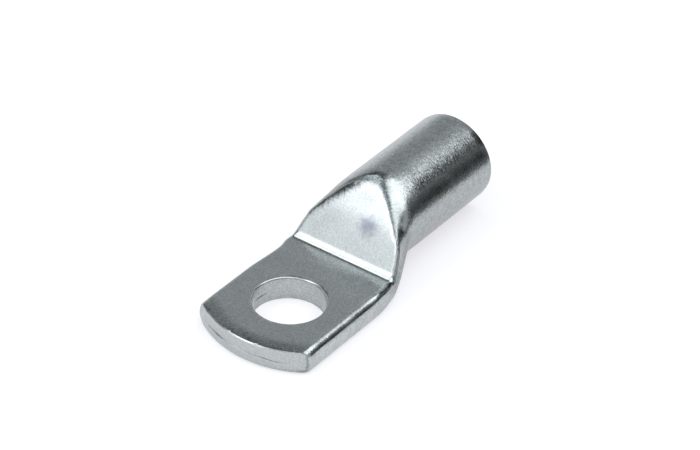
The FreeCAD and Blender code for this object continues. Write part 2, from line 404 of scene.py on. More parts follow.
@dataclass
class LugBody:
    """The lug itself: a tube that the press folded flat at one end, cut round and punched for the stud.

    It is meshed as it was made. A plain tube is divided into rings, and each ring is pressed to the
    section that the lug has there.
    """

    form: LugForm
    # How finely it is meshed.
    half_count: int = 112
    palm_spacing: float = 0.25
    pressed_spacing: float = 0.17
    crease_spacing: float = 0.07
    barrel_spacing: float = 0.4
    bore_spacing: float = 0.5
    edge_steps: int = 4
    tip_steps: int = 6
    hole_turns: int = 160
    # The broken edges, and the punch that makes the stud hole's.
    tip_edge: float = 0.3
    mouth_edge: float = 0.25
    mouth_chamfer: float = 0.5
    hole_edge: float = 0.3
    hole_edge_turn: float = 80.0
    punch_spare: float = 1.0
    punch_flare: tuple[float, float] = (0.3, 0.05)
    # The near side's upper corner, with its burr.
    near_flat: float = 1.15
    near_squareness: float = 2.1
    near_end_x: float = 20.5
    near_fade: float = 4.0
    flank_squareness: float = 1.7
    flank_delay: float = 1.0
    flank_fade: float = 2.0
    crease_fade: float = 3.0
    crease_tightening: float = 0.25
    crease_burr: float = 0.7
    burr: float = 0.043
    burr_width: float = 0.17
    # The palm's top behind the cut end.
    shear_reach: float = 2.3
    shear_ease: float = 0.6
    shear_slope: float = 0.06
    # The bend of the facet, and the cheek between its near fold and the barrel.
    facet_bulge: float = 0.2
    bulge_peak: float = 0.7
    bulge_flattening: float = 0.4
    facet_crown: float = 0.02
    crown_half: float = 8.0
    fold_reach: float = 3.0
    cheek_sink: float = 0.14
    cheek_angle: float = 36.0
    cheek_width: float = 17.0
    cheek_x: tuple[float, float, float] = (16.0, 20.0, 23.6)
    # The folded edges and the cut end's near corner and lower edge, which the finish roughens and darkens
    # with painted shade.
    fold_line: MarkedLine = (
        (15.0, 7.4, 7.2, 0.2, 0.5), (16.1, 5.7, 8.9, 0.25, 0.7), (17.35, 3.95, 10.65, 0.28, 0.8),
        (18.8, 2.1, 12.6, 0.38, 0.9), (19.8, 0.9, 13.25, 0.6, 1.0), (20.3, -0.5, 13.4, 0.75, 1.0),
        (19.5, -1.75, 12.95, 0.5, 1.0), (18.55, -3.05, 12.1, 0.36, 0.9), (17.6, -4.45, 10.9, 0.3, 0.8),
        (16.2, -6.25, 9.0, 0.28, 0.65), (15.2, -7.45, 7.5, 0.3, 0.5), (14.2, -8.5, 6.0, 0.3, 0.3),
    )
    flank_line: MarkedLine = (
        (18.6, -6.8, 7.4, 0.6, 0.3), (16.8, -7.9, 5.6, 0.9, 0.45), (14.6, -8.9, 3.8, 1.0, 0.5),
        (12.8, -9.3, 2.8, 0.8, 0.45), (11.2, -9.3, 2.4, 0.5, 0.15),
    )
    corner_line: MarkedLine = (
        (-8.0, -9.05, 3.1, 0.16, 0.6), (-7.9, -9.15, 1.6, 0.16, 0.75), (-8.0, -9.05, 0.35, 0.2, 0.8),
        (-9.3, -6.8, 0.1, 0.28, 0.7), (-10.4, -3.8, 0.1, 0.25, 0.4), (-10.9, -0.5, 0.1, 0.2, 0.1),
    )
    # The stud hole's wall gets a little of the painted shade and rougher relief of the folded edges.
    hole_shade_and_relief: float = 0.2
    # Heights on the cut end, each with how deep the closed fold's seam sets the metal back there.
    seam_profile: tuple[tuple[float, float], ...] = (
        (0.6, 0.0), (1.1, 0.0), (1.38, -0.02), (1.50, -0.05), (1.58, 0.0), (1.64, 0.15),
        (1.70, 0.17), (1.76, 0.06), (1.88, 0.05), (2.1, 0.03), (2.5, 0.0), (2.9, 0.0),
    )
    seam_width: float = 15.2
    seam_fade: float = 1.5
    seam_strength: float = 0.75
    seam_change: float = 0.5
    seam_pattern: tuple[float, float] = (2.4, 1.3)
    seam_wander: float = 0.05
    wander_pattern: tuple[float, float] = (3.1, 6.1)
    # The open stretch of that seam in the stud hole's wall.
    slit_z: float = 1.62
    slit_angle: float = 87.0
    slit_length: float = 2.6
    slit_height: float = 0.13
    slit_depth: float = 0.6
    slit_cuts: int = 7
    slit_taper: float = 0.8
    slit_wander: float = 0.03
    slit_pattern: tuple[float, float] = (0.8, 2.2)
    # How the two sides go in and out.
    side_zone: float = 0.45
    far_waist: float = 0.41
    far_waist_x: float = 9.4
    far_waist_before: float = 7.0
    far_waist_after: float = 2.7
    far_flare: float = 0.012
    near_waist: float = 0.28
    near_waist_x: float = 12.0
    near_waist_reach: float = 4.2
    flank_hollow: float = 0.32
    flank_x: float = 20.0
    flank_reach: float = 3.2
    # The rolled lower edge of the cut end, and the bulge of its far corner.
    roll_under: float = 0.42
    roll_back: float = 0.78
    roll_gain: float = 1.4
    roll_start: float = 0.2
    roll_end_y: float = 9.5
    roll_fade: float = 6.0
    roll_least: float = 0.15
    corner_bulge: float = 0.5
    corner_start_y: float = 5.5
    corner_fade: float = 4.0
    corner_sag: float = 0.75
    corner_fullness: float = 0.8
    # Each kind of dent: its size, its pattern, its depth, and the share of it that the pressed facet keeps.
    dents: tuple[tuple[float, float, float, float], ...] = (
        (0.9, 3.7, 0.010, 0.1), (0.45, 9.1, 0.005, 0.1), (3.6, 5.3, 0.018, 0.35),
    )
    dent_middle: float = 0.03
    barrel_dents: float = 0.25
    sharp_angle: float = 32.0
    name: str = "pressed_tube"

    def tube(self, name: str, rings: np.ndarray) -> bpy.types.Object:
        """Divides a plain tube into rings and presses each to its place.

        Args:
            name: Name of the object.
            rings: Places of the points, by ring and by place round it, in millimetres.

        Returns:
            The tube, still in millimetres.
        """
        ring_count, round_count = rings.shape[:2]
        bpy.ops.object.select_all(action="DESELECT")
        bpy.ops.mesh.primitive_cylinder_add(
            vertices=round_count, radius=1, depth=ring_count - 1, end_fill_type="NOTHING"
        )
        piece = bpy.context.object
        piece.name = name
        piece.data.name = name
        bpy.ops.object.mode_set(mode="EDIT")
        bpy.ops.mesh.select_all(action="DESELECT")
        shape = bmesh.from_edit_mesh(piece.data)
        # The rims' edges are level, so the others run along the tube.
        for edge in shape.edges:
            edge.select_set(abs(edge.verts[0].co.z - edge.verts[1].co.z) > 0.5)
        bmesh.update_edit_mesh(piece.data)
        bpy.ops.mesh.subdivide(number_cuts=ring_count - 2)
        bpy.ops.object.mode_set(mode="OBJECT")
        places = points_of(piece)
        ring = np.rint(places[:, 2] + (ring_count - 1) / 2).astype(int)
        turn = np.arctan2(places[:, 1], places[:, 0]) * round_count / (2 * math.pi)
        around = np.rint(turn).astype(int) % round_count
        piece.data.vertices.foreach_set("co", rings[ring, around].ravel())
        piece.data.update()
        return piece

    def section_ring(self, x: float, half: np.ndarray) -> np.ndarray:
        """One ring of points with its place along X."""
        ring = ring_of(half, self.half_count)
        return np.column_stack([np.full(len(ring), x), ring])

    def own_shape(self, x: float, section: np.ndarray) -> np.ndarray:
        """Moves the sides by what this lug shows: each has its own waist, and the far one flares.

        Args:
            x: Place along the lug.
            section: Points of the section, a row of y and z each.

        Returns:
            The points with their sides moved.
        """
        form = self.form
        waist = form.waist(x)
        reach = self.far_waist_before if x < self.far_waist_x else self.far_waist_after
        far = waist - self.far_waist * ease(1 - abs(x - self.far_waist_x) / reach)
        far += self.far_flare * ease(-x / form.hole_radius)
        near = waist - self.near_waist * ease(1 - abs(x - self.near_waist_x) / self.near_waist_reach)
        side = np.abs(section[:, 0]).max()
        share = ease((np.abs(section[:, 0]) / side - (1 - self.side_zone)) / self.side_zone)
        moved = section.copy()
        moved[:, 0] += share * np.where(section[:, 0] > 0, far, -near)
        low = np.clip(1 - section[:, 1] / form.radius, 0, 1)
        hollow = self.flank_hollow * ease(1 - abs(x - self.flank_x) / self.flank_reach)
        moved[:, 0] -= share * np.sign(section[:, 0]) * hollow * 4 * low * (1 - low)
        return self.near_fold(x, moved)

    def near_fold(self, x: float, section: np.ndarray) -> np.ndarray:
        """Rounds the near side's upper corner, where the folded tube kept its curve, and leaves a burr.

        Args:
            x: Place along the lug.
            section: Points of the section, a row of y and z each.

        Returns:
            The points with that corner rounded.
        """
        strength = ease((self.near_end_x - x) / self.near_fade)
        if strength == 0:
            return section
        form = self.form
        top = section[:, 1].max()
        order = np.arange(self.half_count, 2 * self.half_count)
        order = order[section[order, 1] >= top / 2]
        side, middle = -section[order[-1], 0], section[order[-1], 1]
        on_flank = ease((x - form.waist_x - self.flank_delay) / self.flank_fade)
        beside_crease = ease((x - form.palm_end_x) / self.crease_fade) * (1 - on_flank)
        flat = side - self.near_flat * (1 - self.crease_tightening * beside_crease)
        flat += (min(form.facet_half(x), side - form.palm_side) - flat) * on_flank
        squareness = self.near_squareness + (self.flank_squareness - self.near_squareness) * on_flank
        corner = np.vstack([[0.0, top], form.corner(flat, side, middle, top, squareness)])
        walked = walk(corner)
        places = walk(section[order]) - section[order[0], 0]
        places *= walked[-1] / places[-1]
        across, up = (np.interp(places, walked, corner[:, axis]) for axis in (0, 1))
        ridge = np.exp(-((flat - across) / self.burr_width) ** 2)
        up += self.burr * (1 + self.crease_burr * beside_crease) * ridge * (1 - on_flank)
        rounded = section.copy()
        rounded[order] += (np.column_stack([-across, up]) - section[order]) * strength
        return rounded

    def sheared(self, rings: np.ndarray) -> np.ndarray:
        """Draws the palm's top down a little behind the cut end, as the shear did.

        Args:
            rings: Places of the points, by ring.

        Returns:
            The places with the top lowered there.
        """
        form = self.form
        reach = np.hypot(rings[:, :, 0] + form.tip_x - form.tip_radius, rings[:, :, 1])
        inside = self.shear_reach - (form.tip_radius - reach)
        inside = np.where(rings[:, :, 0] < 0, np.maximum(inside, 0), 0)
        eased = np.minimum(inside, self.shear_ease)
        drop = self.shear_slope * (eased ** 2 / (2 * self.shear_ease) + inside - eased)
        upper = np.clip(rings[:, :, 2] * 2 / form.palm_thickness - 1, 0, 1)
        lowered = rings.copy()
        lowered[:, :, 2] -= drop * upper
        return lowered

    def tip_x(self, points: np.ndarray) -> np.ndarray:
        """X of the cut end, whose far corner bulges at half the thickness.

        Args:
            points: Points of the section, a row of y and z each.

        Returns:
            The X of each.
        """
        form = self.form
        flat = np.array([form.tip(y) for y in points[:, 0]])
        outward = np.clip((points[:, 0] - self.corner_start_y) / self.corner_fade, 0, 1)
        height = np.clip(points[:, 1] / form.palm_thickness, 0, 1)
        upright = np.sin(math.pi * (1 - height) ** self.corner_sag) ** self.corner_fullness
        return flat - self.corner_bulge * outward ** 2 * upright

    def tip_rings(self, section: np.ndarray) -> list[np.ndarray]:
        """The rings from the rounded edge of the cut end up to where the palm stops being straight.

        The shear came from below: it rolled the lower edge over and left the upper one nearly sharp.

        Args:
            section: Points of the palm's section, a row of y and z each.

        Returns:
            The rings, from the cut end on.
        """
        form = self.form
        along = np.roll(section, -1, axis=0) - np.roll(section, 1, axis=0)
        inward = np.column_stack([-along[:, 1], along[:, 0]])
        inward /= np.linalg.norm(inward, axis=1)[:, None]
        under = np.clip(inward[:, 1] * self.roll_gain - self.roll_start, 0, 1)
        under *= np.clip((self.roll_end_y - section[:, 0]) / self.roll_fade, self.roll_least, 1)
        pull_in = self.tip_edge + (self.roll_under - self.tip_edge) * under
        pull_back = self.tip_edge + (self.roll_back - self.tip_edge) * under
        rings = []
        for step in range(self.tip_steps + 1):
            turn = math.pi / 2 * (1 - step / self.tip_steps)
            pulled = section + inward * (pull_in * (1 - math.cos(turn)))[:, None]
            pulled = self.own_shape(-form.tip_x, pulled)
            x = self.tip_x(pulled) + pull_back * (1 - math.sin(turn))
            rings.append(np.column_stack([x, pulled]))
        start = rings[-1][:, 0]
        count = round((form.palm_end_x + form.tip_x) / self.palm_spacing)
        for step in range(1, count):
            x = start + (form.palm_end_x - start) * step / count
            rings.append(np.column_stack([x, self.own_shape(float(x.mean()), section)]))
        return rings

    def outer_rings(self) -> np.ndarray:
        """Works out the outside.

        Returns:
            All its rings, from the cut end to the mouth.
        """
        form = self.form
        rings = self.tip_rings(ring_of(form.outer_section(form.palm_end_x), self.half_count))
        bend_start = form.ramp_foot_x - form.crease_radius / 2
        bend_end = form.ramp_foot_x + form.crease_radius / 2
        places = stretch(form.palm_end_x, bend_start, self.pressed_spacing)
        places += stretch(bend_start, bend_end, self.crease_spacing)
        places += stretch(bend_end, form.barrel_start_x, self.pressed_spacing)
        places += stretch(form.barrel_start_x, form.mouth_x - self.mouth_edge, self.barrel_spacing)
        for x in places:
            section = self.own_shape(x, ring_of(form.outer_section(x), self.half_count))
            rings.append(self.bulged(np.column_stack([np.full(len(section), x), section])))
        barrel = self.section_ring(form.mouth_x, form.outer_section(form.mouth_x))
        axis = np.array([0, 0, form.radius])
        for step in range(self.edge_steps + 1):
            turn = math.pi / 2 * step / self.edge_steps
            share = 1 - self.mouth_edge * (1 - math.cos(turn)) / form.radius
            ring = axis + (barrel - axis) * share
            ring[:, 0] = form.mouth_x - self.mouth_edge * (1 - math.sin(turn))
            rings.append(ring)
        return self.uneven(self.sheared(np.array(rings)))

    def bulged(self, ring: np.ndarray) -> np.ndarray:
        """Bends the facet a little outward, and sinks the cheek between its near fold and the barrel.

        The bend lies across the facet's middle and makes its lower half the steeper one.

        Args:
            ring: Places of one ring's points.

        Returns:
            The moved places.
        """
        form = self.form
        x = ring[0, 0]
        share = (form.top(x) - form.palm_thickness) / (form.tube_diameter - form.palm_thickness)
        tent = max(1 - abs(2 * share - 1), 0)
        rounded = tent - self.bulge_flattening * max(tent - self.bulge_peak, 0)
        past_fold = np.abs(ring[:, 1]) - form.facet_half(x)
        upper = np.clip((ring[:, 2] - form.top(x) / 2) / (form.top(x) / 2), 0, 1)
        weight = ease(1 - past_fold / self.fold_reach) * upper ** 0.5
        crown = self.facet_crown * min(tent * 2, 1) * (ring[:, 1] / self.crown_half) ** 2
        ring = ring + ((self.facet_bulge * rounded - crown) * weight)[:, None] * form.facet_normal
        start, peak, end = self.cheek_x
        length = ease((x - start) / (peak - start)) * ease((end - x) / (end - peak))
        turn = np.degrees(np.arctan2(-ring[:, 1], ring[:, 2] - form.radius))
        sunk = self.cheek_sink * length * np.exp(-((turn - self.cheek_angle) / self.cheek_width) ** 2)
        inward = np.array([0, 0, form.radius]) - ring
        inward[:, 0] = 0
        return ring + inward / form.radius * sunk[:, None]

    def uneven(self, rings: np.ndarray) -> np.ndarray:
        """Sinks the surface here and there by a few hundredths, as the press and the shear leave it.

        Args:
            rings: Places of the points, by ring.

        Returns:
            The places with the dents.
        """
        along = np.gradient(rings, axis=0)
        around = np.roll(rings, -1, axis=1) - np.roll(rings, 1, axis=1)
        inward = np.cross(along, around)
        lengths = np.linalg.norm(inward, axis=2)
        inward /= np.where(lengths > 0, lengths, 1)[:, :, None]
        towards_axis = rings.mean(axis=1, keepdims=True) - rings
        if np.sum(inward * towards_axis) < 0:
            inward = -inward
        sunk = np.zeros(rings.shape[:2])
        for ring, row in enumerate(rings):
            x = row[self.half_count, 0]
            strength = self.barrel_dents + (1 - self.barrel_dents) * self.form.pressed(x)
            facet_half = self.form.facet_half(x) if x > self.form.waist_x else 0.0
            for place, point in enumerate(row):
                on_facet = abs(point[1]) < facet_half and point[2] > self.form.radius / 3
                depths = [
                    wobble(point, size, pattern) * depth * (kept if on_facet else 1)
                    for size, pattern, depth, kept in self.dents
                ]
                sunk[ring, place] = max(self.dent_middle + sum(depths), 0) * strength
        sunk[-self.edge_steps - 2:] = 0
        return rings + inward * sunk[:, :, None]

    def inner_rings(self) -> np.ndarray:
        """Works out the inside.

        Returns:
            All its rings, from the thin end of the fold to the chamfer of the mouth.
        """
        form = self.form
        rise = math.radians(form.ramp_angle)
        foot_x = form.ramp_foot_x + form.wall * math.tan(rise / 2)
        fold_end = foot_x + (2 * form.wall - form.palm_thickness + form.seam_opening) / form.slope
        bore_end = form.mouth_x - form.bore_depth
        places = stretch(fold_end, bore_end, self.pressed_spacing * 2)
        rings = [self.section_ring(x, form.inner_section(x)) for x in places]
        axis = np.array([0, 0, form.radius])
        barrel = self.section_ring(form.mouth_x, form.outer_section(form.mouth_x)) - axis
        barrel[:, 0] = 0
        for x in stretch(bore_end, form.mouth_x - self.mouth_chamfer, self.bore_spacing):
            rings.append(axis + barrel * form.bore_radius / form.radius + [x, 0, 0])
        for step in range(self.edge_steps + 1):
            out = self.mouth_chamfer * step / self.edge_steps
            share = (form.bore_radius + out) / form.radius
            rings.append(axis + barrel * share + [form.mouth_x - self.mouth_chamfer + out, 0, 0])
        return np.array(rings)

    def close_tip(self, piece: bpy.types.Object) -> None:
        """Closes the cut end with upright columns of faces, creased along the seam of the closed fold.

        Args:
            piece: The outside, open at its cut end.
        """
        shape = bmesh.new()
        shape.from_mesh(piece.data)
        rim = [edge for edge in shape.edges if edge.is_boundary and edge.verts[0].co.x < 0]
        points = (vertex for edge in rim for vertex in edge.verts)
        start = min(points, key=lambda vertex: abs(vertex.co.y) + abs(vertex.co.z))
        loop = [start]
        edge = next(edge for edge in start.link_edges if edge.is_boundary)
        while edge.other_vert(loop[-1]) is not start:
            loop.append(edge.other_vert(loop[-1]))
            edge = next(other for other in loop[-1].link_edges if other.is_boundary and other is not edge)
        half = len(loop) // 2
        middle = self.column(shape, start, loop[half])
        for side in (1, -1):
            last = middle
            for step in range(1, half // 2 + 1):
                low, high = loop[side * step], loop[half - side * step]
                column = self.column(shape, low, high) if low is not high else [low] * len(last)
                for row in range(len(last) - 1):
                    corners = [last[row], column[row], column[row + 1], last[row + 1]]
                    shape.faces.new(list(dict.fromkeys(corners)))
                last = column
        shape.to_mesh(piece.data)
        shape.free()

    def column(self, shape: bmesh.types.BMesh, low: bmesh.types.BMVert,
               high: bmesh.types.BMVert) -> list[bmesh.types.BMVert]:
        """One upright line of points across the cut end, set back where the seam runs.

        Args:
            shape: The mesh that gets the points.
            low: The point on the lower edge.
            high: The point on the upper edge.

        Returns:
            The line's points, from the lower to the upper edge.
        """
        points = [low]
        for z, depth in self.seam_profile:
            place = low.co.lerp(high.co, z / self.form.palm_thickness)
            fade = ease((self.seam_width / 2 - abs(place.y)) / self.seam_fade)
            strength = self.seam_strength + self.seam_change * wobble(place, *self.seam_pattern)
            bulge = self.tip_x(np.array([[place.y, place.z]]))[0] - self.form.tip(place.y)
            ends = max(low.co.x, high.co.x) - self.form.tip(place.y)
            place.x = min(place.x, place.x - ends + bulge) + depth * fade * strength
            place.x = max(place.x, NEAR / 2 - self.form.tip_x)
            place.z += self.seam_wander * wobble(place, *self.wander_pattern)
            points.append(shape.verts.new(place))
        return points + [high]

    @staticmethod
    def select_rim(piece: bpy.types.Object, x: float) -> None:
        """Selects, in edit mode, the open edges at one place along the lug.

        Args:
            piece: The piece in edit mode.
            x: Place along the lug.
        """
        bpy.ops.mesh.select_all(action="DESELECT")
        shape = bmesh.from_edit_mesh(piece.data)
        for edge in shape.edges:
            edge.select_set(edge.is_boundary and all(abs(vertex.co.x - x) < NEAR for vertex in edge.verts))
        bmesh.update_edit_mesh(piece.data)

    def join_mouth(self, outside: bpy.types.Object, inside: bpy.types.Object) -> bpy.types.Object:
        """Joins the outside and the inside with the ring-shaped face of the mouth.

        Args:
            outside: The outside, open at the mouth.
            inside: The inside, open at both ends.

        Returns:
            The closed body.
        """
        fold_x = min(vertex.co.x for vertex in inside.data.vertices)
        select_only(outside)
        inside.select_set(True)
        bpy.ops.object.join()
        bpy.ops.object.mode_set(mode="EDIT")
        bpy.ops.mesh.select_mode(type="EDGE")
        self.select_rim(outside, self.form.mouth_x)
        bpy.ops.mesh.bridge_edge_loops()
        self.select_rim(outside, fold_x)
        bpy.ops.mesh.edge_face_add()
        bpy.ops.mesh.select_all(action="SELECT")
        bpy.ops.mesh.normals_make_consistent(inside=False)
        bpy.ops.object.mode_set(mode="OBJECT")
        return outside

    def punch(self) -> bpy.types.Object:
        """Makes the shape that the punch took out: the stud hole with its drawn-in upper edge.

        Returns:
            The shape, in millimetres.
        """
        radius = self.form.hole_radius
        top = self.form.palm_thickness
        steps = self.edge_steps + 2
        profile = [(radius, -self.punch_spare), (radius, top - self.hole_edge)]
        for step in range(1, steps + 1):
            turn = math.radians(self.hole_edge_turn) * step / steps
            out = radius + self.hole_edge * (1 - math.cos(turn))
            profile.append((out, top - self.hole_edge * (1 - math.sin(turn))))
        profile.append((out + self.punch_flare[0], top + self.punch_flare[1]))
        profile.append((out + self.punch_flare[0], top + self.punch_spare))
        bpy.ops.object.select_all(action="DESELECT")
        bpy.ops.mesh.primitive_circle_add(vertices=self.hole_turns, radius=radius, fill_type="NGON")
        piece = bpy.context.object
        piece.name = "punch"
        bpy.ops.transform.translate(value=(0, 0, profile[0][1]))
        bpy.ops.object.transform_apply(location=True, rotation=True, scale=True)
        bpy.ops.object.mode_set(mode="EDIT")
        bpy.ops.mesh.select_all(action="SELECT")
        for (inner, low), (outer, high) in zip(profile, profile[1:]):
            bpy.ops.mesh.extrude_region_move(TRANSFORM_OT_translate={"value": (0, 0, high - low)})
            bpy.ops.transform.resize(value=(outer / inner, outer / inner, 1), center_override=(0, 0, high))
        bpy.ops.mesh.select_all(action="SELECT")
        bpy.ops.mesh.normals_make_consistent(inside=False)
        bpy.ops.object.mode_set(mode="OBJECT")
        return piece

    def slit(self) -> bpy.types.Object:
        """Makes the stretch of the seam that stands open in the stud hole's wall.

        Returns:
            The open space, in millimetres.
        """
        turn = math.radians(self.slit_angle)
        radius = self.form.hole_radius
        place = (radius * math.cos(turn), radius * math.sin(turn), self.slit_z)
        bpy.ops.object.select_all(action="DESELECT")
        bpy.ops.mesh.primitive_cube_add(size=1, location=place, rotation=(0, 0, turn))
        piece = bpy.context.object
        piece.name = "slit"
        piece.scale = (self.slit_depth * 2, self.slit_length, self.slit_height)
        bpy.ops.object.transform_apply(location=False, rotation=False, scale=True)
        bpy.ops.object.mode_set(mode="EDIT")
        bpy.ops.mesh.select_all(action="SELECT")
        bpy.ops.mesh.subdivide(number_cuts=self.slit_cuts)
        bpy.ops.object.mode_set(mode="OBJECT")
        for vertex in piece.data.vertices:
            share = abs(vertex.co.y) / (self.slit_length / 2)
            wander = self.slit_wander * wobble(vertex.co, *self.slit_pattern)
            vertex.co.z = vertex.co.z * (1 - self.slit_taper * share ** 2) + wander
        bpy.ops.object.transform_apply(location=True, rotation=True, scale=True)
        return piece

    @staticmethod
    def cut(piece: bpy.types.Object, tool: bpy.types.Object) -> None:
        """Cuts a tool's shape out of a piece, and removes the tool.

        Args:
            piece: What is cut.
            tool: The shape that is taken out.
        """
        select_only(piece)
        modifier = piece.modifiers.new("cut", "BOOLEAN")
        modifier.operation = "DIFFERENCE"
        modifier.solver = "EXACT"
        modifier.object = tool
        bpy.ops.object.modifier_apply(modifier=modifier.name)
        bpy.data.objects.remove(tool)

    def mark_lines(self, piece: bpy.types.Object) -> None:
        """Marks how near each point lies to the folded edges, the cut end's near corner and the stud hole's
        wall, for the finish's painted shade and rougher relief.

        Args:
            piece: The body, which gets the marks as its attribute.
        """
        places = points_of(piece)
        on_wall = np.abs(np.hypot(places[:, 0], places[:, 1]) - self.form.hole_radius) < NEAR
        marked = self.hole_shade_and_relief * on_wall
        for line in (self.fold_line, self.flank_line, self.corner_line):
            for start, end in zip(np.array(line), np.array(line[1:])):
                along = end[:3] - start[:3]
                share = np.clip((places - start[:3]) @ along / (along @ along), 0, 1)[:, None]
                nearest = start + (end - start) * share
                away = np.linalg.norm(places - nearest[:, :3], axis=1)
                marked = np.maximum(marked, nearest[:, 4] * np.exp(-((away / nearest[:, 3]) ** 2)))
        fold = piece.data.attributes.new(SHADE_AND_RELIEF_MARK, "FLOAT", "POINT")
        fold.data.foreach_set("value", marked)

    def build(self) -> bpy.types.Object:
        """Makes the whole body.

        Returns:
            The finished body, in metres, with its shading set.
        """
        outside = self.tube(self.name, self.outer_rings())
        self.close_tip(outside)
        inside = self.tube("inside", self.inner_rings())
        piece = self.join_mouth(outside, inside)
        self.cut(piece, self.punch())
        self.cut(piece, self.slit())
        self.mark_lines(piece)
        piece.data.transform(Matrix.Scale(MM, 4))
        select_only(piece)
        bpy.ops.object.shade_smooth_by_angle(angle=math.radians(self.sharp_angle))
        return piece


def feed(tree: bpy.types.NodeTree, socket: bpy.types.NodeSocket, value: object) -> None:
    """Gives an input its value, or links it.

    Args:
        tree: The node tree.
        socket: The input.
        value: A plain value, an output to link, or a node, whose first output in use is linked.
    """
    if isinstance(value, bpy.types.Node):
        value = next(output for output in value.outputs if output.enabled)
    if isinstance(value, bpy.types.NodeSocket):
        tree.links.new(value, socket)
    else:
        socket.default_value = value


def add_node(tree: bpy.types.NodeTree, kind: str, inputs: dict | None = None, **settings) -> bpy.types.Node:
    """Adds a node to a material or a world.

    Args:
        tree: The node tree.
        kind: The node's type, without its leading word ShaderNode.
        inputs: What each input is fed, by the name or number of the input.
        settings: The node's own settings.

    Returns:
        The new node.
    """
    node = tree.nodes.new("ShaderNode" + kind)
    for name, value in settings.items():
        setattr(node, name, value)
    for name, value in (inputs or {}).items():
        feed(tree, node.inputs[name], value)
    return node


class Pattern(Enum):
    """The uneven patterns of the finish: the grain's size in millimetres, its layers and their strength.

    Tin's real crystals are a few thousandths of a millimetre wide, which is too fine to show, so
    they are drawn as coarse as they need to be.
    """

    CRYSTAL = (0.28, 2.0, 0.6)
    MOTTLE = (0.75, 3.0, 0.6)
    CLOUD = (3.2, 2.0, 0.5)
    SCRATCH = (0.16, 1.0, 0.5)


def per_metre(grain: float) -> float:
    """Scale of a pattern whose grain has this size in millimetres."""
    return 1 / (grain * MM)


